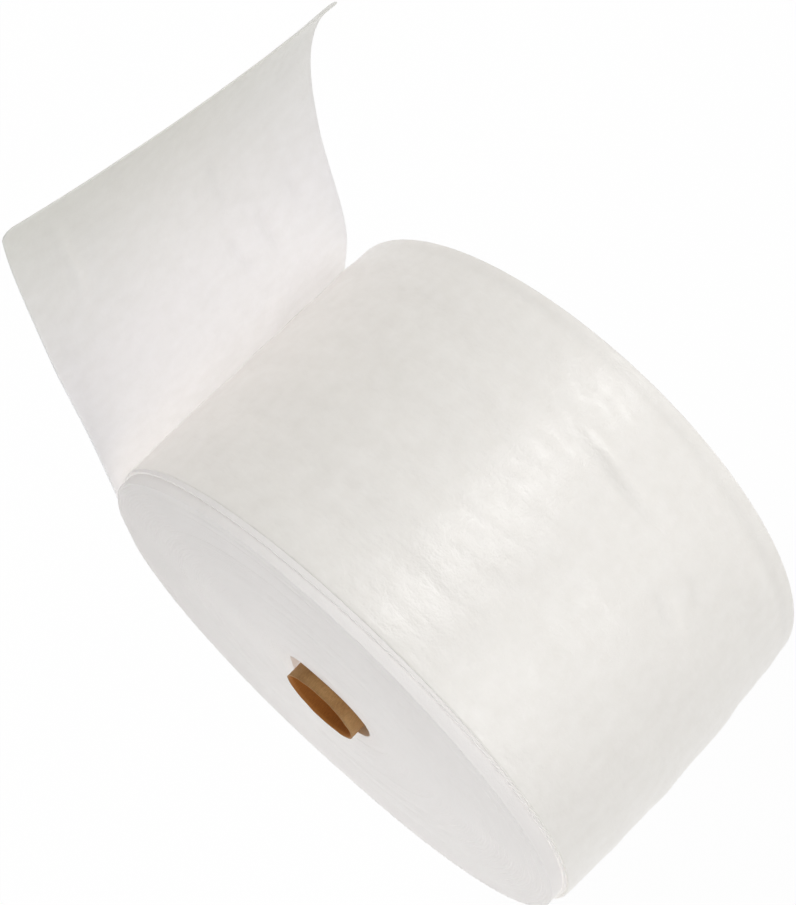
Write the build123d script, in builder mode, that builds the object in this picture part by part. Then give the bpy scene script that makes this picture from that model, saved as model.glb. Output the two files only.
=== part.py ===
"""Roll of thin white foam wrap on a cardboard core, lying on its side with its free end unrolled in front.

The roll's axis runs along X, the free end lies towards -Y, and Z is up. The origin is on the floor, under the
middle of the axis. Millimetres throughout.
"""
import os
from math import cos, radians, sin, sqrt

from build123d import *

# Foam web
web_width = 305.0  # width of the web, and of every turn of it
sheet = 3.0  # thickness of the foam
roll_diameter = 542.0
slipped_turns = 2  # outermost turns, which have slid sideways together
slip = 10.0  # how far those turns have slid towards -X
rim_ease = 3.0  # worn corner at the rim of each end face

# Turns that show as lines on the end faces
line_turns = 11  # turns from one open line to the next
line_width = 2.4
line_depth = 1.6

# Cardboard core
core_diameter = 80.2
core_wall = 2.0
core_overhang = 12.0  # length of core that stands out of the foam at each end
core_fit = 0.2  # room between the core and the flanks of the foam's bore
bore_slack = 9.0  # how far the innermost turn stands off the core, above and below it
bore_lean = 70.0  # angle of the bore's long way from +Y, in degrees

# Flat spot that the roll rests on
flat_press = 0.5  # how far the second turn is pressed into the sheet under it

# Free end: distances in front of the axis, and heights of its underside at the two edges of the web
hump_at = 160.0
dip_at = 300.0
tail_reach = 490.0
near_heights = (6.0, 0.5, 17.0)  # hump, dip and tip at the +X edge
far_heights = (19.0, 6.0, 52.0)  # the same at the -X edge
near_tip_angle = 20.0  # slope of the free end at the tip, in degrees
far_tip_angle = 40.0
tip_crown = 9.0  # how far the middle of the tip stands above the line between its corners
corner_radius = 10.0  # rounded corners of the free end

half_width = web_width / 2
roll_radius = roll_diameter / 2
flat_depth = sheet + flat_press
axis_height = roll_radius - flat_depth
flat_half = sqrt(roll_radius**2 - axis_height**2)
core_radius = core_diameter / 2
steady_radius = roll_radius - slipped_turns * sheet  # radius of the turns that have not slid
line_pitch = line_turns * sheet
roll_axis = Axis((0, 0, axis_height), (1, 0, 0))


def end_face_points(x, inward):
    """Section of one end face, from the rim to the bore: an eased corner, then a notch at each open turn."""
    points = [(x + inward * rim_ease, axis_height + steady_radius)]
    points.append((x, axis_height + steady_radius - rim_ease))
    radius = steady_radius - line_pitch
    while radius > core_radius + bore_slack + line_width:
        points.append((x, axis_height + radius + line_width / 2))
        points.append((x + inward * line_depth, axis_height + radius))
        points.append((x, axis_height + radius - line_width / 2))
        radius -= line_pitch
    points.append((x, axis_height + core_radius / 2))
    return points


# Spiral-wound cardboard tube, open at both ends
with BuildPart() as core_tube:
    core_length = web_width + 2 * core_overhang
    with BuildSketch(Plane.YZ.offset(-core_length / 2)):
        with Locations((0, axis_height)):
            Circle(core_radius)
            Circle(core_radius - core_wall, mode=Mode.SUBTRACT)
    extrude(amount=core_length)

# One continuous web: all the turns, with the free end that comes off under them
with BuildPart() as foam_web:
    # Steady turns with the slipped ones round them, turned about the axis
    with BuildSketch(Plane.XZ):
        with BuildLine():
            near_face = end_face_points(half_width, -1)
            far_face = end_face_points(-half_width, 1)
            slipped_near = half_width - slip
            slipped_far = -half_width - slip
            Polyline(
                *near_face,
                *reversed(far_face),
                (slipped_far, axis_height + steady_radius),
                (slipped_far, axis_height + roll_radius),
                (slipped_near, axis_height + roll_radius),
                (slipped_near, axis_height + steady_radius),
                close=True,
            )
        make_face()
    revolve(axis=roll_axis)

    # Flat spot
    split(bisect_by=Plane.XY, keep=Keep.TOP)

    # Free end, lofted from its far edge through its middle to its near one
    middle_heights = [(far + near) / 2 for far, near in zip(far_heights, near_heights)]
    middle_heights[-1] += tip_crown
    lengthwise_sections = (
        (-half_width, far_heights, far_tip_angle),
        (0, middle_heights, (far_tip_angle + near_tip_angle) / 2),
        (half_width, near_heights, near_tip_angle),
    )
    for x, (hump, dip, tip), tip_angle in lengthwise_sections:
        with BuildSketch(Plane.YZ.offset(x)):
            with BuildLine():
                under = [(-flat_half, 0), (-hump_at, hump), (-dip_at, dip), (-tail_reach, tip)]
                over = [(y, z + sheet) for y, z in under]
                level = (-1, 0)
                rising = (-cos(radians(tip_angle)), sin(radians(tip_angle)))
                Line((0, 0), under[0])
                Spline(*under[:3], tangents=[level, level])
                Spline(*under[2:], tangents=[level, rising])
                Line(under[-1], over[-1])
                Spline(*over[:3], tangents=[level, level])
                Spline(*over[2:], tangents=[level, rising])
                Polyline(over[0], (0, sheet), (0, 0))
            make_face()
    loft()
    with BuildSketch(Plane.XY):
        Rectangle(web_width, 2 * tail_reach)
        RectangleRounded(web_width, 2 * tail_reach, corner_radius, mode=Mode.SUBTRACT)
    extrude(amount=axis_height, mode=Mode.SUBTRACT)

    # Oval bore, tight on the core's flanks and slack above and below it
    with BuildSketch(Plane.YZ.offset(-web_width)):
        with Locations((0, axis_height)):
            Ellipse(core_radius + bore_slack, core_radius + core_fit, rotation=bore_lean)
    extrude(amount=2 * web_width, mode=Mode.SUBTRACT)

core_tube.part.label = "core_tube"
foam_web.part.label = "foam_web"
os.makedirs("parts", exist_ok=True)
export_step(core_tube.part, "parts/core_tube.step")
export_step(foam_web.part, "parts/foam_web.step")
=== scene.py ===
# %% [markdown]
# # A roll of foam wrap
# A long web of thin white foam is wound on a cardboard core. The roll lies on its side, and the free end of
# the web comes off at the bottom and lies on the floor in front. This file builds it in three pieces: the
# wound turns, the outermost turn with the free end, and the core. The solids that come with the frame give
# every size.

# %% Load the frame
from math import cos, pi, radians, sin, sqrt

import bmesh
import bpy
import numpy as np
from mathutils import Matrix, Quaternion, Vector


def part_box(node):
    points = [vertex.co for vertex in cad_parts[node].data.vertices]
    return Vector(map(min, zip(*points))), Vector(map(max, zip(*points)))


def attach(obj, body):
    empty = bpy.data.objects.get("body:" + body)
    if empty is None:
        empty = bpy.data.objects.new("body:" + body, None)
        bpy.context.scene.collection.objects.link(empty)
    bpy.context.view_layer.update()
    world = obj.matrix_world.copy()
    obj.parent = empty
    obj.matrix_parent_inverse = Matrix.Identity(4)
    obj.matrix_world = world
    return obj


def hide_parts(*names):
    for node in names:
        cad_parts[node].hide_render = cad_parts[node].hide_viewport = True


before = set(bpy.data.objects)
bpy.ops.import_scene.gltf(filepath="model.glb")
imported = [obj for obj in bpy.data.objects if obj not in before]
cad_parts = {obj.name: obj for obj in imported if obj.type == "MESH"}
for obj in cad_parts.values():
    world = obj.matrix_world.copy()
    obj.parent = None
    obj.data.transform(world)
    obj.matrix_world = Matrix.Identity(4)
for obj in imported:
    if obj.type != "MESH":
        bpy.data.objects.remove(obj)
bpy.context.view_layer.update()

scene = bpy.context.scene

# %% [markdown]
# ## Sizes
# The roll's axis runs along X, the free end points towards -Y and the floor is at zero height. The back and
# the top of the roll are one radius away from its axis, so two corners of the foam's box give the radius and
# the height of the axis. Only the thickness of the foam has to be known beside them.

# %% Read the sizes off the solids
web_low, web_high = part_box("foam_web")
core_low, core_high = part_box("core_tube")
roll_radius = web_high.y
axis_height = web_high.z - roll_radius
half_width = web_high.x
tail_reach = -web_low.y
core_radius = (core_high.y - core_low.y) / 2
core_half = core_high.x
foam = 0.003
print(f"roll radius {roll_radius:.4f} m, axis {axis_height:.4f} m up, web {2 * half_width:.3f} m wide")

# %% [markdown]
# ## Camera
# The picture that this model follows is turned in its frame: the roll seems to stand on one edge. The camera
# is therefore placed and aimed as if it were level, and then turned about its own line of sight. Turning the
# camera keeps the object upright in the model, where turning the object would not.

# %% Place, aim and turn the camera
camera_at = Vector((0.4299, -1.5073, 0.7764))
camera_aim = Vector((-0.0227, -0.1427, 0.2052))
camera_turn = radians(128.33)
camera_data = bpy.data.cameras.new("picture_camera")
camera_data.lens = 70.95
camera_data.sensor_width = 36.0
camera = bpy.data.objects.new("picture_camera", camera_data)
scene.collection.objects.link(camera)
camera.location = camera_at
camera.rotation_mode = "QUATERNION"
level = (camera_aim - camera_at).to_track_quat("-Z", "Y")
camera.rotation_quaternion = level @ Quaternion((0, 0, 1), camera_turn)
scene.camera = camera
print("camera at", tuple(round(v, 3) for v in camera_at), "lens", camera_data.lens)

# %% [markdown]
# ## Helpers for node trees
# Both Geometry Nodes and materials are node trees. One helper adds a node and fills its inputs, by a value or
# by a link from another node's output. The others do the same for the many small sums, for two colours that
# are mixed or multiplied, and for a node group. They keep the cells below short enough to read.


# %% Add a node, a sum, a mix of colours or a group
def add_node(tree, kind, inputs=None, **settings):
    node = tree.nodes.new(kind)
    for name, value in settings.items():
        setattr(node, name, value)
    for key, value in (inputs or {}).items():
        if isinstance(value, bpy.types.NodeSocket):
            tree.links.new(value, node.inputs[key])
        else:
            node.inputs[key].default_value = value
    return node


def add_sum(tree, operation, *values, **settings):
    inputs = dict(enumerate(values))
    return add_node(tree, "ShaderNodeMath", inputs, operation=operation, **settings).outputs[0]


def mix_colours(tree, share, first, second, **settings):
    """A Mix node has sockets for every kind of value: the colours are inputs 6 and 7, and output 2."""
    mix = add_node(tree, "ShaderNodeMix", {0: share, 6: first, 7: second}, data_type="RGBA", **settings)
    return mix.outputs[2]


def multiply_colours(tree, first, second):
    return mix_colours(tree, 1.0, first, second, blend_type="MULTIPLY")


def start_group(name, inputs, outputs):
    """A shader node group with named sockets, and the outputs of its input node."""
    group = bpy.data.node_groups.new(name, "ShaderNodeTree")
    for way, sockets in (("INPUT", inputs), ("OUTPUT", outputs)):
        for socket, kind in sockets.items():
            group.interface.new_socket(socket, in_out=way, socket_type="NodeSocket" + kind)
    return group, add_node(group, "NodeGroupInput").outputs


def add_group(tree, group, **inputs):
    named = {name.replace("_", " "): value for name, value in inputs.items()}
    return add_node(tree, "ShaderNodeGroup", named, node_tree=group)


print("helpers ready, Blender", bpy.app.version_string)

# %% [markdown]
# ## Shared finish: uneven tint
# No surface here has one even colour. Foam clouds a little from place to place, and board has paler and
# darker patches. A shader node group mixes two colours by a soft noise, so that every material can use the
# same effect at its own scale. The group puts out a colour and the mask that made it, and no shader.

# %% Build the tint group
noise_low, noise_high = 0.3, 0.7  # nearly all of a noise lies between these
tint_group, tint_given = start_group(
    "uneven_tint",
    {"Vector": "Vector", "Pale": "Color", "Deep": "Color", "Scale": "Float", "Detail": "Float"},
    {"Color": "Color", "Mask": "Float"})
tint_noise = add_node(tint_group, "ShaderNodeTexNoise", {
    "Vector": tint_given["Vector"], "Scale": tint_given["Scale"],
    "Detail": tint_given["Detail"], "Roughness": 0.55})
tint_mask = add_node(tint_group, "ShaderNodeMapRange", {
    "Value": tint_noise.outputs[0], "From Min": noise_low, "From Max": noise_high}).outputs[0]
tint_colour = mix_colours(tint_group, tint_mask, tint_given["Pale"], tint_given["Deep"])
add_node(tint_group, "NodeGroupOutput", {"Color": tint_colour, "Mask": tint_mask})
print("group:", tint_group.name, len(tint_group.nodes), "nodes")

# %% [markdown]
# ## Shared finish: fine cells
# Foam is made of closed cells under a thin skin. Up close the skin looks pebbled, and a cut edge shows the
# cells themselves. Both are one pattern at two strengths: rounded Voronoi cells with a soft noise over them.
# A group gives the height of that pattern for a Bump node, and the cells are far too small to model as a
# mesh.

# %% Build the cell group
cell_group, cell_given = start_group(
    "fine_cells",
    {"Vector": "Vector", "Cell": "Float", "Pebble": "Float", "Pebble share": "Float"},
    {"Height": "Float"})
cell_dots = add_node(cell_group, "ShaderNodeTexVoronoi", {
    "Vector": cell_given["Vector"], "Scale": cell_given["Cell"]})
cell_round = add_sum(cell_group, "SUBTRACT", 1.0, cell_dots.outputs["Distance"])
cell_pebble = add_node(cell_group, "ShaderNodeTexNoise", {
    "Vector": cell_given["Vector"], "Scale": cell_given["Pebble"], "Detail": 2.0})
cell_height = add_node(cell_group, "ShaderNodeMix", {
    0: cell_given["Pebble share"], 2: cell_round, 3: cell_pebble.outputs[0]}, data_type="FLOAT")
add_node(cell_group, "NodeGroupOutput", {"Height": cell_height.outputs[0]})
print("group:", cell_group.name, len(cell_group.nodes), "nodes")

# %% [markdown]
# ## Finish of the foam's skin: colour
# The skin is off-white and its own tone changes a little along the web: it is warm on the roll and cooler on
# the free end. The colour also carries painted light beside the roll, where the roll shades the web, and
# painted shade towards the tip, which is greyest where it curls up away from the light. The web has a UV map in
# metres, so a colour ramp can follow it round the roll and out along the free end. Object coordinates would cut
# straight through the bends instead.
# Along the creases the skin is painted a little paler or darker, as painted light on their ridges and painted
# shade in their furrows, and an attribute of the mesh says where.


# %% Start a material, and colour the skin
def start_material(name):
    material = bpy.data.materials.new(name)
    material.use_nodes = True
    tree = material.node_tree
    return material, tree, tree.nodes["Principled BSDF"]


skin, tree, shader = start_material("foam_skin")
web_place = add_node(tree, "ShaderNodeUVMap", uv_map="web").outputs[0]
place_along = add_node(tree, "ShaderNodeSeparateXYZ", {0: web_place}).outputs["Y"]
ramp_length = 2.2  # metres of web that the ramp covers
# The ramp holds the skin's own tone along the web, with painted light beside the roll and painted shade at the
# tip.
tone_and_painted_light = add_node(tree, "ShaderNodeValToRGB", {"Fac": add_sum(tree, "DIVIDE", place_along, ramp_length)})
tone_and_light_stops = (
    (0.74, (0.945, 0.920, 0.880, 1)),  # on the roll
    (0.80, (0.978, 0.966, 0.972, 1)),  # beside the roll
    (0.84, (0.920, 0.908, 0.922, 1)),  # start of the free end
    (0.88, (0.932, 0.912, 0.922, 1)),  # middle of the free end
    (0.99, (0.795, 0.789, 0.745, 1)),  # tip
)
while len(tone_and_painted_light.color_ramp.elements) < len(tone_and_light_stops):
    tone_and_painted_light.color_ramp.elements.new(0.5)
for stop, (position, colour) in zip(tone_and_painted_light.color_ramp.elements, tone_and_light_stops):
    stop.position, stop.color = position, colour
clouds = add_group(tree, tint_group, Vector=web_place, Scale=60.0, Detail=3.0,
                   Pale=(1.0, 1.0, 1.0, 1), Deep=(0.966, 0.963, 0.956, 1))
clouded_tone_and_light = multiply_colours(tree, tone_and_painted_light.outputs[0], clouds.outputs["Color"])
# Painted light on the crease ridges and painted shade in the furrows, read from the mesh attribute.
painted_crease_light = add_node(tree, "ShaderNodeAttribute", attribute_name="painted_crease_light").outputs["Fac"]
crease_paint_strength = 0.045
crease_light_factor = add_sum(tree, "MULTIPLY_ADD", painted_crease_light, crease_paint_strength, 1.0)
with_crease_paint = multiply_colours(tree, clouded_tone_and_light, crease_light_factor)
tree.links.new(with_crease_paint, shader.inputs["Base Color"])
print("material:", skin.name, "with", len(tone_and_light_stops), "colours along the web")

# %% [markdown]
# ## Finish of the foam's skin: surface
# Drawing the web out of the machine leaves faint streaks along its length, so a noise is stretched that way.
# It varies the satin shine and also lifts the surface a little. The fine cells are a second, smaller bump
# under it.

# %% Streaks and pebbles of the skin
streak_scale = (115.0, 55.0, 1.0)  # across the web, along it
streak_place = add_node(tree, "ShaderNodeMapping", {"Vector": web_place, "Scale": streak_scale})
streaks = add_node(tree, "ShaderNodeTexNoise", {
    "Vector": streak_place.outputs[0], "Scale": 1.0, "Detail": 3.0})
satin = add_node(tree, "ShaderNodeMapRange", {
    "Value": streaks.outputs[0], "From Min": noise_low, "From Max": noise_high,
    "To Min": 0.28, "To Max": 0.46})
tree.links.new(satin.outputs[0], shader.inputs["Roughness"])
cells = add_group(tree, cell_group, Vector=web_place, Cell=520.0, Pebble=210.0, Pebble_share=0.7)
cell_bump = add_node(tree, "ShaderNodeBump", {
    "Height": cells.outputs[0], "Distance": 0.0010, "Strength": 0.3})
streak_bump = add_node(tree, "ShaderNodeBump", {
    "Height": streaks.outputs[0], "Distance": 0.0026, "Strength": 0.31, "Normal": cell_bump.outputs[0]})
tree.links.new(streak_bump.outputs[0], shader.inputs["Normal"])
print("material:", skin.name, len(tree.nodes), "nodes")

# %% [markdown]
# ## Finish of the foam's cut edges
# On the end faces only the slit edges of the web show. A slit edge has no skin, so it is duller, and its open
# cells are sharper than the pebbles of the skin. It uses the same two groups with other values. Two masks of
# painted shade are multiplied over the colour. One darkens what lies deep between the turns, where little light
# gets in. The other is painted shade at the foot of the faces, near the floor, and painted light a little
# higher up.

# %% Make the foam's cut edge
# Painted shade deep between the turns, and painted shade and light from the foot of the faces upwards.
dim_depth, clear_depth, dimmest = 0.046, 0.018, 0.6  # depths behind the end face
foot_shade_height, upper_light_height = 0.04, 0.22
foot_shade, upper_light = 0.92, 1.03
edge, tree, shader = start_material("foam_edge")
place = add_node(tree, "ShaderNodeTexCoord").outputs["Object"]
clouds = add_group(tree, tint_group, Vector=place, Scale=11.0, Detail=3.0,
                   Pale=(0.955, 0.930, 0.912, 1), Deep=(0.925, 0.898, 0.880, 1))
place_parts = add_node(tree, "ShaderNodeSeparateXYZ", {0: place}).outputs
from_middle = add_sum(tree, "ABSOLUTE", place_parts["X"])
painted_depth_shade = add_node(tree, "ShaderNodeMapRange", {
    "Value": from_middle, "From Min": half_width - dim_depth, "From Max": half_width - clear_depth,
    "To Min": dimmest, "To Max": 1.0}).outputs[0]
painted_foot_shade = add_node(tree, "ShaderNodeMapRange", {
    "Value": place_parts["Z"], "From Min": foot_shade_height, "From Max": upper_light_height,
    "To Min": foot_shade, "To Max": upper_light}).outputs[0]
edge_colour = multiply_colours(tree, clouds.outputs["Color"], add_sum(tree, "MULTIPLY", painted_depth_shade, painted_foot_shade))
tree.links.new(edge_colour, shader.inputs["Base Color"])
cells = add_group(tree, cell_group, Vector=place, Cell=700.0, Pebble=260.0, Pebble_share=0.4)
cell_bump = add_node(tree, "ShaderNodeBump", {
    "Height": cells.outputs[0], "Distance": 0.0006, "Strength": 0.4})
tree.links.new(cell_bump.outputs[0], shader.inputs["Normal"])
shader.inputs["Roughness"].default_value = 0.72
print("material:", edge.name, len(tree.nodes), "nodes")

# %% [markdown]
# ## The wound turns
# Seventy-five turns of foam follow one rule: a spiral whose radius grows by one thickness a turn. That is a
# job for Geometry Nodes. The tree makes the spiral as a curve, moves its points, and sweeps the web's thin
# section along it. Four things keep it from looking machined. The innermost turns are slack and stand oval
# round the core. The lowest turns are pressed flat where the roll rests. Every turn wanders a little
# sideways, and the outermost one has slipped towards the hidden end. Low down, the faces are pushed over, so
# that the near one stands proud there.

# %% Name the inputs of the spiral tree
turn_tree = bpy.data.node_groups.new("wound_turns", "GeometryNodeTree")
turn_tree.is_modifier = True
turn_tree.interface.new_socket("Geometry", in_out="OUTPUT", socket_type="NodeSocketGeometry")
turn_sockets = {}
for name in ("Turns", "Inner radius", "Outer radius", "Web width", "Fill", "Edge round", "Slack", "Slack depth",
             "Upper lean", "Slit", "Lower lean", "Axis height", "Roll radius", "Press", "Press depth", "Wander",
             "Slip", "Top slip", "Push", "Seed"):
    turn_sockets[name] = turn_tree.interface.new_socket(name, in_out="INPUT", socket_type="NodeSocketFloat")
for name, kind in (("Points a turn", "NodeSocketInt"), ("Material", "NodeSocketMaterial")):
    turn_sockets[name] = turn_tree.interface.new_socket(name, in_out="INPUT", socket_type=kind)
given = add_node(turn_tree, "NodeGroupInput").outputs
print("spiral inputs:", len(turn_sockets))

# %% [markdown]
# ## The spiral, lying flat
# Blender's Curve Spiral lies in its own X-Y plane, so the tree works there and stands the roll up at the end:
# the spiral's X becomes down, and its Z becomes the roll's axis. Every point only has to know its radius.
# From that follow its distance from the core, and how many turns lie outside it.

# %% Spiral, and what each of its points knows
spiral = add_node(turn_tree, "GeometryNodeCurveSpiral", {
    "Resolution": given["Points a turn"], "Rotations": given["Turns"], "Start Radius": given["Inner radius"],
    "End Radius": given["Outer radius"], "Height": 0.0, "Reverse": True})
where = add_node(turn_tree, "GeometryNodeInputPosition").outputs[0]
parts = add_node(turn_tree, "ShaderNodeSeparateXYZ", {0: where}).outputs
radius = add_node(turn_tree, "ShaderNodeVectorMath", {0: where}, operation="LENGTH").outputs["Value"]
span = add_sum(turn_tree, "SUBTRACT", given["Outer radius"], given["Inner radius"])
pitch = add_sum(turn_tree, "DIVIDE", span, given["Turns"])
from_core = add_sum(turn_tree, "SUBTRACT", radius, given["Inner radius"])
from_rim = add_sum(turn_tree, "SUBTRACT", given["Outer radius"], radius)
turns_in = add_sum(turn_tree, "DIVIDE", from_rim, pitch)


def share_towards(angle, sharpness):
    """How far each point lies towards an angle from the back, turning up: 1 there, 0 a right angle off."""
    way = add_node(turn_tree, "ShaderNodeCombineXYZ", {
        "X": add_sum(turn_tree, "MULTIPLY", add_sum(turn_tree, "SINE", angle), -1.0),
        "Y": add_sum(turn_tree, "COSINE", angle)}).outputs[0]
    dot = add_node(turn_tree, "ShaderNodeVectorMath", {0: where, 1: way}, operation="DOT_PRODUCT")
    cosine = add_sum(turn_tree, "DIVIDE", dot.outputs["Value"], radius)
    return add_sum(turn_tree, "POWER", add_sum(turn_tree, "MAXIMUM", cosine, 0.0), sharpness)


print("spiral started:", len(turn_tree.nodes), "nodes")

# %% [markdown]
# ## Slack, and the flat spot
# The first turns were never pulled tight. Above the core they stand off in a wide hook, and below it in a
# narrow slit, and both fade out over the next turns. Where the roll rests, a smooth minimum stops every turn
# at its own lowest level, and the levels spread out again over a few turns, so that the layers stay apart.

# %% Slack round the core, and the flat spot
slack_sharpness, slit_sharpness = 2.5, 7.0
flat_blend = 0.0008
slack_left = add_sum(turn_tree, "SUBTRACT", 1.0,
                     add_sum(turn_tree, "DIVIDE", from_core, given["Slack depth"]), use_clamp=True)
hook = add_sum(turn_tree, "MULTIPLY", given["Slack"], share_towards(given["Upper lean"], slack_sharpness))
slit = add_sum(turn_tree, "MULTIPLY", given["Slit"], share_towards(given["Lower lean"], slit_sharpness))
slack = add_sum(turn_tree, "MULTIPLY", add_sum(turn_tree, "ADD", hook, slit), slack_left)
grown = add_sum(turn_tree, "DIVIDE", add_sum(turn_tree, "ADD", radius, slack), radius)
oval_x = add_sum(turn_tree, "MULTIPLY", parts["X"], grown)
oval_y = add_sum(turn_tree, "MULTIPLY", parts["Y"], grown)
depth = add_sum(turn_tree, "SUBTRACT", given["Roll radius"], radius)
give = add_sum(turn_tree, "MULTIPLY", given["Press"],
               add_sum(turn_tree, "MINIMUM", add_sum(turn_tree, "DIVIDE", depth, given["Press depth"]), 1.0))
lowest = add_sum(turn_tree, "ADD", add_sum(turn_tree, "SUBTRACT", given["Axis height"], depth), give)
flat_x = add_sum(turn_tree, "SMOOTH_MIN", oval_x, lowest, flat_blend)
print("slack and flat spot:", len(turn_tree.nodes), "nodes")

# %% [markdown]
# ## Sideways: wander, slip and push
# No web winds up dead straight. A slow noise along the turns gives the wander. The outermost turn has
# slipped, most at the top, and comes back in line over a short stretch. The push grows from the core to the
# rim and is strongest near the floor.

# %% Sideways wander, slip and push
wander_rate = 0.14  # how fast the noise runs, for one turn
slip_whole, slip_gone = 0.86, 1.12  # turns in from the rim
push_way, push_sharpness = -0.47 * pi, 1.5
drift = add_node(turn_tree, "ShaderNodeTexNoise", {
    "W": add_sum(turn_tree, "ADD", add_sum(turn_tree, "MULTIPLY", turns_in, wander_rate), given["Seed"]),
    "Scale": 1.0, "Detail": 3.0, "Roughness": 0.45}, noise_dimensions="1D").outputs[0]
wander = add_sum(turn_tree, "MULTIPLY", add_sum(turn_tree, "SUBTRACT", drift, 0.5), given["Wander"])
slipped = add_node(turn_tree, "ShaderNodeMapRange", {
    "Value": turns_in, "From Min": slip_whole, "From Max": slip_gone, "To Min": 1.0, "To Max": 0.0},
    interpolation_type="SMOOTHSTEP").outputs[0]
at_top = add_sum(turn_tree, "MULTIPLY", given["Top slip"], share_towards(pi / 2, 1.0))
slip = add_sum(turn_tree, "MULTIPLY", add_sum(turn_tree, "ADD", given["Slip"], at_top), slipped)
steady = add_sum(turn_tree, "SUBTRACT", 1.0, slipped)
push_share = add_sum(turn_tree, "MULTIPLY", share_towards(push_way, push_sharpness),
                     add_sum(turn_tree, "DIVIDE", from_core, span))
push = add_sum(turn_tree, "MULTIPLY", given["Push"], add_sum(turn_tree, "MULTIPLY", push_share, steady))
sideways = add_sum(turn_tree, "ADD", add_sum(turn_tree, "SUBTRACT", wander, slip), push)
moved = add_node(turn_tree, "ShaderNodeCombineXYZ", {"X": flat_x, "Y": oval_y, "Z": sideways}).outputs[0]
placed = add_node(turn_tree, "GeometryNodeSetPosition", {"Geometry": spiral.outputs[0], "Position": moved})
print("points placed:", len(turn_tree.nodes), "nodes")

# %% [markdown]
# ## Sweep the web's section
# Curve to Mesh carries a thin rectangle, with its corners eased, along the spiral. Set Curve Normal keeps the
# rectangle upright, or it would twist as it goes round. The last nodes stand the roll up, make real faces and
# give them their material.

# %% Sweep the section along the spiral
upright = add_node(turn_tree, "GeometryNodeSetCurveNormal", {"Curve": placed.outputs[0]}, mode="Z_UP")
section = add_node(turn_tree, "GeometryNodeCurvePrimitiveQuadrilateral", {
    "Width": add_sum(turn_tree, "MULTIPLY", pitch, given["Fill"]), "Height": given["Web width"]})
eased = add_node(turn_tree, "GeometryNodeFilletCurve", {"Curve": section.outputs[0]}, mode="POLY")
eased.inputs["Count"].default_value = 2
turn_tree.links.new(given["Edge round"], eased.inputs["Radius"])
swept = add_node(turn_tree, "GeometryNodeCurveToMesh", {
    "Curve": upright.outputs[0], "Profile Curve": eased.outputs[0], "Fill Caps": True})
lift = add_node(turn_tree, "ShaderNodeCombineXYZ", {"Z": given["Axis height"]}).outputs[0]
stood = add_node(turn_tree, "GeometryNodeTransform", {
    "Geometry": swept.outputs[0], "Translation": lift, "Rotation": (0.0, pi / 2, 0.0)})
smooth = add_node(turn_tree, "GeometryNodeSetShadeSmooth", {"Geometry": stood.outputs[0]})
real = add_node(turn_tree, "GeometryNodeRealizeInstances", {"Geometry": smooth.outputs[0]})
dressed = add_node(turn_tree, "GeometryNodeSetMaterial", {
    "Geometry": real.outputs[0], "Material": given["Material"]})
add_node(turn_tree, "NodeGroupOutput", {"Geometry": dressed.outputs[0]})
print("spiral tree:", len(turn_tree.nodes), "nodes")

# %% [markdown]
# ## From a tree to a plain mesh
# A tree only shows its result while its modifier is live. The helper below sets the inputs by their
# identifiers, evaluates the object once, and keeps the result as an ordinary mesh in a new object. Nothing
# live is left behind.


# %% Turn a tree into a mesh, and make the wound turns
def mesh_from_tree(name, tree, sockets, values):
    maker = bpy.data.objects.new(name + "_maker", bpy.data.meshes.new(name + "_maker"))
    scene.collection.objects.link(maker)
    modifier = maker.modifiers.new(name, "NODES")
    modifier.node_group = tree
    for key, value in values.items():
        modifier[sockets[key].identifier] = value
    seen = maker.evaluated_get(bpy.context.evaluated_depsgraph_get())
    mesh = bpy.data.meshes.new_from_object(seen)
    mesh.name = name
    maker.modifiers.remove(modifier)
    bpy.data.objects.remove(maker)
    made = bpy.data.objects.new(name, mesh)
    scene.collection.objects.link(made)
    return made


turn_count = 75
core_room = 0.0002  # between the core and the innermost turn
lap_end_slip = 0.0085  # slip at the bottom, where the outermost turn goes on as the next piece
wound = mesh_from_tree("wound_turns", turn_tree, turn_sockets, {
    "Turns": float(turn_count), "Inner radius": core_radius + core_room + foam / 2,
    "Outer radius": roll_radius - 1.5 * foam, "Web width": 2 * half_width,
    "Fill": 0.992, "Edge round": 0.0002, "Slack": 0.010, "Slack depth": 0.135, "Upper lean": radians(100.0),
    "Slit": 0.010, "Lower lean": radians(230.0),
    "Axis height": axis_height, "Roll radius": roll_radius, "Press": roll_radius - axis_height,
    "Press depth": 25 * foam, "Wander": 0.0011, "Slip": lap_end_slip, "Top slip": 0.0055, "Push": 0.0065,
    "Seed": 3.0, "Points a turn": 88, "Material": edge})
print("wound turns:", len(wound.data.vertices), "vertices, from",
      tuple(round(min(v.co[i] for v in wound.data.vertices), 4) for i in range(3)), "to",
      tuple(round(max(v.co[i] for v in wound.data.vertices), 4) for i in range(3)))

# %% [markdown]
# ## The outermost turn and the free end
# The outside of the roll and the free end are one stretch of web, so they are one sheet here too. Its middle
# surface is worked out row by row: one turn round the roll, then out along the floor. The free end rises in a
# low hump where it leaves the roll, settles, and curls up at its tip, more at the far corner than at the near
# one. Cubic curves join those heights, because a strip of foam bends evenly.

# %% Heights of the free end
hump_at, dip_at = 0.160, 0.300  # distances in front of the axis
hump = (0.019, 0.006)  # heights of the underside, at the far edge and at the near one
dip = (0.006, 0.0005)
tip = (0.060, 0.0150)
tip_slope = (radians(42.0), radians(14.0))
tip_crown = 0.005  # how far the middle of the tip stands above the line between its corners
flat_half = sqrt(roll_radius**2 - axis_height**2)


def ease_between(y, start, end, z0, z1, slope0, slope1):
    """Cubic from one height and slope to another."""
    length = end - start
    u = np.clip((y - start) / length, 0, 1)
    return (z0 * (1 + 2 * u) * (1 - u)**2 + z1 * u * u * (3 - 2 * u)
            + length * (slope0 * u * (1 - u)**2 + slope1 * u * u * (u - 1)))


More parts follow.
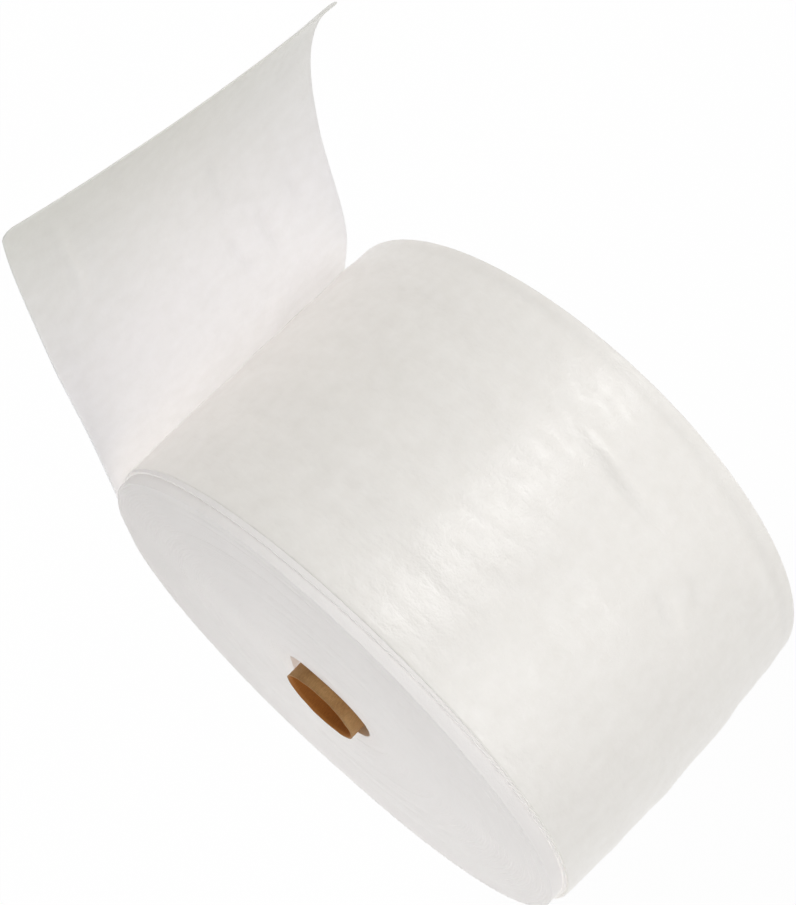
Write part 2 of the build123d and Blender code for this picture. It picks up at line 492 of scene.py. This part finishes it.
def free_end_height(out, share):
    """Height of the underside at a distance in front of the axis; share is 0 at the far edge, 1 at the near."""
    at_hump = hump[0] + (hump[1] - hump[0]) * share
    at_dip = dip[0] + (dip[1] - dip[0]) * share
    at_tip = tip[0] + (tip[1] - tip[0]) * share + tip_crown * 4 * share * (1 - share)
    slope = np.tan(tip_slope[0] + (tip_slope[1] - tip_slope[0]) * share)
    first, second = hump_at - flat_half, dip_at - hump_at
    turn = 1.5 * (at_hump / first**2 + (at_dip - at_hump) / second**2) / (1 / first + 1 / second)
    rise = ease_between(out, flat_half, hump_at, 0.0, at_hump, 0.0, turn)
    fall = ease_between(out, hump_at, dip_at, at_hump, at_dip, turn, 0.0)
    curl = ease_between(out, dip_at, tail_reach, at_dip, at_tip, 0.0, slope)
    return np.where(out < hump_at, rise, np.where(out < dip_at, fall, curl))


tip_heights = [round(float(free_end_height(tail_reach, share)), 4) for share in (0.0, 0.5, 1.0)]
print("tip heights, far to near:", tip_heights)

# %% [markdown]
# ## Rows and columns
# The sheet is a grid. Rows run across the web and follow each other along it, first round the roll and then
# out to the tip. The columns, and the last rows, stand closer together at the edges, where the foam's rim is
# rounded. The turn is measured by its angle: zero at the bottom, then the back, the top and the front.

# %% Middle surface of the sheet, row by row
row_step = 0.0042
inner_columns = 71
floor_blend = 0.001  # how softly the turn settles on its flat spot
lap_rows = round(2 * pi * roll_radius / row_step)
tail_rows = round(tail_reach / row_step)
rim_steps = np.array([0.0, 0.0005, 0.0014])
rim_share = rim_steps / (2 * half_width)
rim_room = row_step / (2 * half_width)
across = np.concatenate([rim_share, np.linspace(rim_room, 1 - rim_room, inner_columns), 1 - rim_share[::-1]])
lap_angle = np.linspace(2 * pi, 0.0, lap_rows, endpoint=False)
lap_radius = roll_radius - foam / 2 - foam * lap_angle / (2 * pi)
lap_y = lap_radius * np.sin(lap_angle)
lap_z = axis_height - lap_radius * np.cos(lap_angle)
lap_floor = foam * np.where(lap_angle > pi, 1.5, 0.5)
lap_z = 0.5 * (lap_z + lap_floor + np.sqrt((lap_z - lap_floor)**2 + floor_blend**2))
tail_out = np.concatenate([np.linspace(0.0, tail_reach - row_step, tail_rows), tail_reach - rim_steps[::-1]])
row_y = np.concatenate([lap_y, -tail_out])
rows, columns = len(row_y), len(across)
row_z = np.zeros((rows, columns))
row_z[:lap_rows] = lap_z[:, None]
row_z[lap_rows:] = free_end_height(tail_out[:, None], across[None, :]) + foam / 2
print("sheet:", rows, "rows of", columns, "points,", lap_rows, "of them round the roll")

# %% [markdown]
# ## Sideways slip, and the plan of the tip
# The outermost turn has slid towards the hidden end, most of all over the top of the roll. It comes back in
# line where the free end leaves the roll. A smooth curve through a few marks round the turn gives that slide.
# The tip drifts a little the same way, its far corner reaches further than its near one, and both corners are
# rounded by narrowing the last rows.

# %% Slip round the turn, and the plan of each row
slip_marks = (  # angle round the turn, sideways place
    (0.0, 0.0), (0.5 * pi, -0.013), (pi, -0.0162), (1.35 * pi, -0.0138), (1.7 * pi, -0.0132),
    (2 * pi, -lap_end_slip))
blur_rows = 60
tip_drift, far_reach, near_cut = 0.004, 0.007, 0.004
corner = 0.010
mark_angle, mark_slip = np.array(slip_marks).T
row_slip = np.zeros(rows)
row_slip[:lap_rows] = np.interp(lap_angle, mark_angle, mark_slip)
kernel = np.hanning(2 * blur_rows + 1)
padded = np.concatenate([np.full(blur_rows, row_slip[0]), row_slip, np.zeros(blur_rows)])
row_slip = np.convolve(padded, kernel / kernel.sum(), mode="valid")
row_slip[lap_rows:] -= tip_drift * (tail_out / tail_reach)**2
to_tip = np.concatenate([np.full(lap_rows, tail_reach), tail_reach - tail_out])
inset = np.where(to_tip < corner, corner - np.sqrt(np.maximum(corner**2 - (corner - to_tip)**2, 0)), 0.0)
row_half = half_width - inset
row_x = row_slip[:, None] + (2 * across[None, :] - 1) * row_half[:, None]
longer = 1 + (far_reach * (1 - across)**2 - near_cut * across**2) / tail_reach
grid_y = np.repeat(row_y[:, None], columns, axis=1)
grid_y[lap_rows:] *= longer
middle = np.stack([row_x, grid_y, row_z], axis=2)
steps = np.linalg.norm(np.diff(middle[:, columns // 2], axis=0), axis=1)
along_web = np.concatenate([[0.0], np.cumsum(steps)])
web_length = float(along_web[-1])
lap_length = float(along_web[lap_rows])
print(f"sheet: {web_length:.3f} m long, {lap_length:.3f} m of it round the roll")

# %% [markdown]
# ## Relief of the skin: waves
# Thin foam is never flat. Soft waves run along the web, at a slant. They catch the light, so they are in the
# mesh and not only in the material. A sum of sine waves with fixed random lengths and phases gives them,
# because a single wave would show its rule.

# %% Waves
wave_count, wave_height, wave_width = 26, 0.00008, 0.03
dice = np.random.RandomState(11)
web_u = across * 2 * half_width
lengthwise, sidewise = np.meshgrid(along_web, web_u, indexing="ij")
relief = np.zeros_like(lengthwise)
for wave in range(wave_count):
    long_way = dice.uniform(0.12, 0.55)
    short_way = dice.uniform(0.030, 0.110)
    tilt = dice.choice([-1.0, 1.0])
    phase = dice.uniform(0, 2 * pi)
    relief += wave_height * sqrt(short_way / wave_width) * np.sin(
        2 * pi * (lengthwise / long_way + tilt * sidewise / short_way) + phase)
print(f"waves from {1000 * relief.min():.2f} to {1000 * relief.max():.2f} mm")

# %% [markdown]
# ## Relief of the skin: creases
# Here and there the web is creased lengthwise, where it was gripped or folded. Each crease is one narrow ridge
# or furrow that sways a little from side to side, with its place, size and height listed below. The same line,
# times a sign, is kept for an attribute that paints light on the ridges and shade in the furrows into the
# skin's colour, because even light would hide the shallow ones.

# %% Creases
creases = (
    # place along the web from the tip, place from the far edge, length, width, height, painted light (+) or
    # shade (-)
    (0.093, 0.258, 0.125, 0.0045, 0.0030, 1.0),
    (0.150, 0.115, 0.080, 0.0045, -0.0022, -1.0),
    (0.257, 0.112, 0.060, 0.0045, -0.0022, -1.0),
    (0.255, 0.078, 0.070, 0.0050, -0.0024, -1.0),
    (0.230, 0.043, 0.040, 0.0045, -0.0015, -0.7),
    (1.050, 0.064, 0.070, 0.0060, 0.0022, 0.5),
    (1.640, 0.081, 0.100, 0.0045, -0.0010, -1.2),
    (1.650, 0.070, 0.090, 0.0045, 0.0010, 0.9),
    (1.668, 0.034, 0.050, 0.0050, 0.0010, 0.9),
    (1.528, 0.122, 0.035, 0.0040, -0.0008, -1.0),
    (1.510, 0.113, 0.040, 0.0045, 0.0008, 0.8),
    (1.517, 0.089, 0.030, 0.0040, -0.0008, -0.9),
    (1.600, 0.013, 0.620, 0.0050, -0.0006, -1.0),
)
crease_sway, sway_rate = 0.003, 5
crease_paint_lines = np.zeros_like(relief)
for place, side, length, width, height, paint_sign in creases:
    centre_along = web_length - place
    ridge = np.exp(-((lengthwise - centre_along) / (0.5 * length))**4)
    bend = side + crease_sway * np.sin((lengthwise - centre_along) / length * sway_rate)
    line = ridge * np.exp(-((sidewise - bend) / width)**2)
    relief += height * line
    crease_paint_lines += paint_sign * line
print(len(creases), f"creases, relief now from {1000 * relief.min():.2f} to {1000 * relief.max():.2f} mm")

# %% [markdown]
# ## Where the sheet lies tight, and where it is loose
# The side of the sheet that faces out of the roll is the underside of the free end, so the relief changes its
# sign where one turns into the other. The rims of the outermost turn are pressed on to the turn under it, so
# the relief fades out there, and most of it fades towards the tip too. Between its rims the turn stands off a
# little, and over the top of the roll, where nothing pulls it, it bulges by a few millimetres.

# %% Calm rims and tip, loose top
turn_over = 0.1  # length of web over which the outside becomes the underside
tip_length, tip_calm = 0.09, 0.12
rim_length = 0.030
stand_off = 0.0008
slack_top, slack_spread, slack_rise = 0.95 * pi, 0.30 * pi, 0.006
on_roll = np.clip((lap_length - lengthwise) / turn_over, 0, 1)
outward = 2 * np.clip((lap_length - lengthwise) / turn_over + 0.5, 0, 1) - 1
near_tip = np.clip((web_length - lengthwise) / tip_length, tip_calm, 1)
off_rim = np.minimum(np.minimum(across, 1 - across) * 2 * half_width / rim_length, 1)
calm = 1 - on_roll * (1 - off_rim)
round_turn = np.concatenate([lap_angle, np.zeros(rows - lap_rows)])
slack_rows = slack_rise * np.exp(-((round_turn - slack_top) / slack_spread)**2)
loose = stand_off * off_rim + slack_rows[:, None] * (4 * across * (1 - across))**1.5
relief = relief * near_tip * outward * calm + on_roll * loose
print(f"relief from {1000 * relief.min():.2f} to {1000 * relief.max():.2f} mm")

# %% [markdown]
# ## Give the sheet its thickness
# A Solidify modifier would give square rims. Here the two skins are set off from the middle surface by hand,
# by a distance that falls away towards the edges, so the rims and the tip come out rounded. On the roll the
# inner skin keeps its full distance, because it lies on the turn under it. No point may sink below the floor.

# %% Outer and inner skin
down_rows = np.gradient(middle, axis=0)
over_columns = np.gradient(middle, axis=1)
out_way = np.cross(over_columns, down_rows)
out_way /= np.linalg.norm(out_way, axis=2, keepdims=True)
lap_out = middle[lap_rows // 2, 0] - np.array([0, 0, axis_height])
if out_way[lap_rows // 2, 0] @ lap_out < 0:
    out_way = -out_way
surface = middle + relief[:, :, None] * out_way
half_foam = 0.47 * foam  # a hair under half, so that the sheet doesn't cut into the turn under it
rim_profile = np.array([0.45, 0.85, 0.97])
tip_profile = np.array([0.92, 0.80, 0.65, 0.50, 0.38, 0.22])
rim_fall = np.ones(columns)
rim_fall[:3], rim_fall[-3:] = rim_profile, rim_profile[::-1]
tip_fall = np.ones(rows)
tip_fall[-len(tip_profile):] = tip_profile
half_out = half_foam * rim_fall[None, :] * tip_fall[:, None]
half_in = half_foam * (1 - (1 - rim_fall) * (1 - on_roll)) * tip_fall[:, None]
outer_skin = surface + half_out[:, :, None] * out_way
inner_skin = surface - half_in[:, :, None] * out_way
outer_skin[:, :, 2] = np.maximum(outer_skin[:, :, 2], 0.0)
skin_z = 1000 * outer_skin[:, :, 2]
print(f"outer skin from {skin_z.min():.2f} to {skin_z.max():.2f} mm above the floor")

# %% [markdown]
# ## Close the sheet
# Both skins use the same grid of faces, the inner one with its corners in the other order. A band of faces
# round the border joins them. A closed sheet still needs its faces to point outwards, so the normals are
# recalculated once.

# %% Faces of both skins and the border
points = np.concatenate([outer_skin.reshape(-1, 3), inner_skin.reshape(-1, 3)])
grid = np.arange(rows * columns).reshape(rows, columns)
a, b, c, d = grid[:-1, :-1], grid[1:, :-1], grid[1:, 1:], grid[:-1, 1:]
outer_faces = np.stack([a, b, c, d], axis=2).reshape(-1, 4)
under = rows * columns
inner_faces = outer_faces[:, ::-1] + under
border = np.concatenate([grid[0, :-1], grid[:-1, -1], grid[-1, :0:-1], grid[:0:-1, 0]])
ahead = np.roll(border, -1)
side_faces = np.stack([border, ahead, ahead + under, border + under], axis=1)


def closed_mesh(name, points, faces):
    """A smooth mesh object whose faces all point outwards."""
    mesh = bpy.data.meshes.new(name)
    mesh.from_pydata(points.tolist(), [], faces.tolist())
    shell = bmesh.new()
    shell.from_mesh(mesh)
    bmesh.ops.recalc_face_normals(shell, faces=shell.faces)
    shell.to_mesh(mesh)
    shell.free()
    mesh.polygons.foreach_set("use_smooth", np.ones(len(mesh.polygons), dtype=bool))
    made = bpy.data.objects.new(name, mesh)
    scene.collection.objects.link(made)
    return made


web = closed_mesh("free_web", points, np.concatenate([outer_faces, inner_faces, side_faces]))
print("free web:", len(web.data.polygons), "faces")

# %% [markdown]
# ## A UV map in metres, and the crease attribute
# The UV map stores the place across the web and along it, in metres, for the colours and streaks of the skin.
# The attribute stores the painted light and shade of the creases at every point. Both are the same for the two
# skins.

# %% Lay the UV map and the attribute, give it the skin
flat_uv = np.stack([sidewise, lengthwise], axis=2).reshape(-1, 2)
flat_uv = np.concatenate([flat_uv, flat_uv])
corner_vertex = np.empty(len(web.data.loops), dtype=np.int32)
web.data.loops.foreach_get("vertex_index", corner_vertex)
web_uv = web.data.uv_layers.new(name="web")
web_uv.data.foreach_set("uv", flat_uv[corner_vertex].astype(np.float32).ravel())
crease_paint_layer = web.data.attributes.new("painted_crease_light", "FLOAT", "POINT")
crease_paint_layer.data.foreach_set("value", np.tile(crease_paint_lines.ravel(), 2).astype(np.float32))
web.data.materials.append(skin)
print("UV map:", web_uv.name, "attribute:", crease_paint_layer.name)

# %% [markdown]
# ## The cardboard core
# The core is wound from strips of brown board at a slant, so a fine seam climbs round it, outside and inside.
# The mesh is twisted along its length by the seam's own slope. One column of points then runs exactly along
# the seam, and pressing that column in makes the groove. The cut ends show the plies as shallow steps, and
# are a little worn.

# %% Rings of the core
core_wall = 0.002
seam_climb = 0.170  # length of core for one turn of the seam
groove_depth, groove_width = 0.00035, 0.9  # metres, columns
plies, ply_step, ply_scatter = 4, 0.0002, 0.0001
core_columns, core_rows = 120, 67
ply_dice = np.random.RandomState(5)
core_x = np.linspace(-core_half, core_half, core_rows)
fractions = np.arange(core_columns) / core_columns
outer_groove = np.exp(-((((fractions + 0.5) % 1) - 0.5) * core_columns / groove_width)**2)
inner_groove = np.roll(outer_groove, core_columns // 2)


def ply_ring(ply, end):
    """A ring on a cut end, +1 or -1: every other one lies a step deeper."""
    step = ply_step * (ply % 2) + ply_scatter * ply_dice.uniform(-1, 1)
    return end * (core_half - step), np.full(core_columns, core_radius - core_wall * ply / (2 * plies))


rings = [(x, core_radius - groove_depth * outer_groove) for x in core_x]
rings += [ply_ring(ply, 1) for ply in range(1, 2 * plies)]
rings += [(x, core_radius - core_wall + groove_depth * inner_groove) for x in core_x[::-1]]
rings += [ply_ring(ply, -1) for ply in range(2 * plies - 1, 0, -1)]
print("core:", len(rings), "rings of", core_columns, "points")

# %% Twist the rings along the seam, wear the ends and join them
worn_length, worn_depth, worn_height = 0.004, 0.0006, 0.00008
worn = sum(worn_height * np.sin(2 * pi * k * fractions + ply_dice.uniform(0, 6)) for k in (2, 3, 5, 8, 13))
core_points = []
for x, radii in rings:
    turn = 2 * pi * (fractions + x / seam_climb)
    at_end = np.sign(x) * (abs(x) > core_half - worn_length)
    core_points.append(np.stack([x + at_end * (worn - worn_depth), radii * np.cos(turn),
                                 axis_height + radii * np.sin(turn)], axis=1))
index = np.arange(len(rings) * core_columns).reshape(len(rings), core_columns)
beside = np.roll(index, -1, axis=1)
above = np.roll(index, -1, axis=0)
both = np.roll(beside, -1, axis=0)
core_faces = np.stack([index, beside, both, above], axis=2).reshape(-1, 4)
core = closed_mesh("core_board", np.concatenate(core_points), core_faces)
print("core:", len(core.data.polygons), "faces")

# %% [markdown]
# ## Finish of the board
# Brown board is dull and full of short fibres. A stretched noise gives the fibres, the shared tint gives
# paler and darker patches, and the fibres also roughen the surface a little. The lining of the core is a
# redder paper than its outside, so a mask by the distance from the axis changes the colour inside.

# %% Make the board
lining_from, lining_to = 0.0006, 0.0001  # depths into the wall, from the bore
fibre_scale = (260.0, 1500.0, 1500.0)
board, tree, shader = start_material("core_board")
place = add_node(tree, "ShaderNodeTexCoord").outputs["Object"]
patches = add_group(tree, tint_group, Vector=place, Scale=45.0, Detail=5.0,
                    Pale=(0.450, 0.255, 0.098, 1), Deep=(0.345, 0.175, 0.058, 1))
off_axis = add_node(tree, "ShaderNodeMapping", {
    "Vector": place, "Location": (0.0, 0.0, -axis_height), "Scale": (0.0, 1.0, 1.0)})
from_axis = add_node(tree, "ShaderNodeVectorMath", {0: off_axis.outputs[0]}, operation="LENGTH")
bore_radius = core_radius - core_wall
inside = add_node(tree, "ShaderNodeMapRange", {
    "Value": from_axis.outputs["Value"],
    "From Min": bore_radius + lining_from, "From Max": bore_radius + lining_to})
lined = mix_colours(tree, inside.outputs[0], patches.outputs["Color"], (0.390, 0.138, 0.016, 1))
fibre_place = add_node(tree, "ShaderNodeMapping", {"Vector": place, "Scale": fibre_scale})
fibres = add_node(tree, "ShaderNodeTexNoise", {"Vector": fibre_place.outputs[0], "Scale": 1.0, "Detail": 4.0})
fibre_dark = add_node(tree, "ShaderNodeMapRange", {
    "Value": fibres.outputs[0], "From Min": 0.35, "From Max": 0.65, "To Min": 0.82, "To Max": 1.08})
tree.links.new(multiply_colours(tree, lined, fibre_dark.outputs[0]), shader.inputs["Base Color"])
fibre_bump = add_node(tree, "ShaderNodeBump", {
    "Height": fibres.outputs[0], "Distance": 0.0003, "Strength": 0.4})
tree.links.new(fibre_bump.outputs[0], shader.inputs["Normal"])
shader.inputs["Roughness"].default_value = 0.82
core.data.materials.append(board)
print("material:", board.name, len(tree.nodes), "nodes")

# %% [markdown]
# ## Ride and replace
# Every piece rides on the one body of this part, and stands for a solid of the frame, which is hidden. The
# outermost turn with the free end is a loose sheet.

# %% Attach each piece to the body, and hide the solid it stands for
stand_ins = ((wound, "foam_web", "foam"), (web, "foam_web", "foam"), (core, "core_tube", "core_card"))
for piece, node, slot in stand_ins:
    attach(piece, "root")
    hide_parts(node)
print("declared sheet:", round(2 * half_width, 3), "by", round(web_length, 3), "m")

# %% [markdown]
# ## Floor and world
# The picture's background is plain white. The floor and the world are white only for the camera and for rays
# from a mirror or through glass, by Light Path, so that they don't flood the object with light. To all other
# rays the floor is a plain pale sheet and the world a dim, even sky. A small share of the plain floor also
# shows to the camera, so that it keeps a faint shadow.


# %% Floor
def seen_directly(tree):
    """1 for rays from the camera, a mirror or glass, and 0 for rays that only carry light."""
    rays = add_node(tree, "ShaderNodeLightPath").outputs
    return add_sum(tree, "MAXIMUM", rays["Is Camera Ray"], add_sum(
        tree, "MAXIMUM", rays["Is Glossy Ray"], rays["Is Transmission Ray"]))


floor_half, floor_drop = 30.0, 0.0004
white_share = 0.985
corner_ways = ((-1, -1), (1, -1), (1, 1), (-1, 1))
floor_corners = [(x * floor_half, y * floor_half, -floor_drop) for x, y in corner_ways]
floor_mesh = bpy.data.meshes.new("floor")
floor_mesh.from_pydata(floor_corners, [], [(0, 1, 2, 3)])
floor = bpy.data.objects.new("floor", floor_mesh)
scene.collection.objects.link(floor)
floor_material = bpy.data.materials.new("floor_white")
floor_material.use_nodes = True
tree = floor_material.node_tree
tree.nodes.clear()
plain = add_node(tree, "ShaderNodeBsdfDiffuse", {"Color": (0.86, 0.86, 0.86, 1)})
white = add_node(tree, "ShaderNodeEmission", {"Color": (1, 1, 1, 1), "Strength": 1.0})
mostly = add_sum(tree, "MULTIPLY", seen_directly(tree), white_share)
floor_mix = add_node(tree, "ShaderNodeMixShader", {0: mostly, 1: plain.outputs[0], 2: white.outputs[0]})
add_node(tree, "ShaderNodeOutputMaterial", {"Surface": floor_mix.outputs[0]})
floor_mesh.materials.append(floor_material)
print("floor:", 2 * floor_half, "m square")

# %% World
world = bpy.data.worlds.new("even_sky")
scene.world = world
world.use_nodes = True
tree = world.node_tree
tree.nodes.clear()
sky = add_node(tree, "ShaderNodeBackground", {"Color": (1, 1, 1, 1), "Strength": 0.18})
white = add_node(tree, "ShaderNodeBackground", {"Color": (1, 1, 1, 1), "Strength": 1.0})
sky_mix = add_node(tree, "ShaderNodeMixShader", {
    0: seen_directly(tree), 1: sky.outputs[0], 2: white.outputs[0]})
add_node(tree, "ShaderNodeOutputWorld", {"Surface": sky_mix.outputs[0]})
scene.view_settings.view_transform = "Standard"
print("world:", world.name)

# %% [markdown]
# ## Lamps
# Large soft lamps light the foam at a level where its own colour shows. Four of them cast shadows: one gives
# the sheen on the front of the roll, one lights its far end, one its back and one its foot. The other three
# are fills without shadows. Light goes right through a layer or two of thin foam, so the corner under the
# roll and the gaps between turns have no dark shadows on the real object. Tracing that through seventy-five
# turns would be slow and noisy, and lamps that cast no shadow come close to it.


# %% Lamps
def add_lamp(name, azimuth, elevation, power, size=1.4):
    """A round soft lamp. Azimuth 0 is in front of the roll, and 90 off the end that shows the core."""
    lamp_data = bpy.data.lights.new(name, "AREA")
    lamp_data.shape = "DISK"
    lamp_data.size = size
    lamp_data.energy = power
    lamp = bpy.data.objects.new(name, lamp_data)
    scene.collection.objects.link(lamp)
    turn, rise = radians(azimuth), radians(elevation)
    way = Vector((sin(turn) * cos(rise), -cos(turn) * cos(rise), sin(rise)))
    lamp.location = lamp_aim + lamp_distance * way
    lamp.rotation_mode = "QUATERNION"
    lamp.rotation_quaternion = (lamp_aim - lamp.location).to_track_quat("-Z", "Y")
    return lamp


lamp_aim = Vector((0.0, -0.05, axis_height))
lamp_distance = 2.6
add_lamp("sheen_lamp", -18, 15, 17.0, size=1.0)
add_lamp("far_lamp", -90, 30, 7.0)
back_lamp = add_lamp("back_lamp", 180, 24, 14.0)
back_lamp.visible_glossy = False
add_lamp("low_lamp", 0, 4, 1.8)
for fill, azimuth, elevation, power in (
        ("front_fill", 0, 60, 18.6), ("top_fill", 0, 88, 6.5), ("end_fill", 118, 14, 24.0)):
    add_lamp(fill, azimuth, elevation, power).data.use_shadow = False
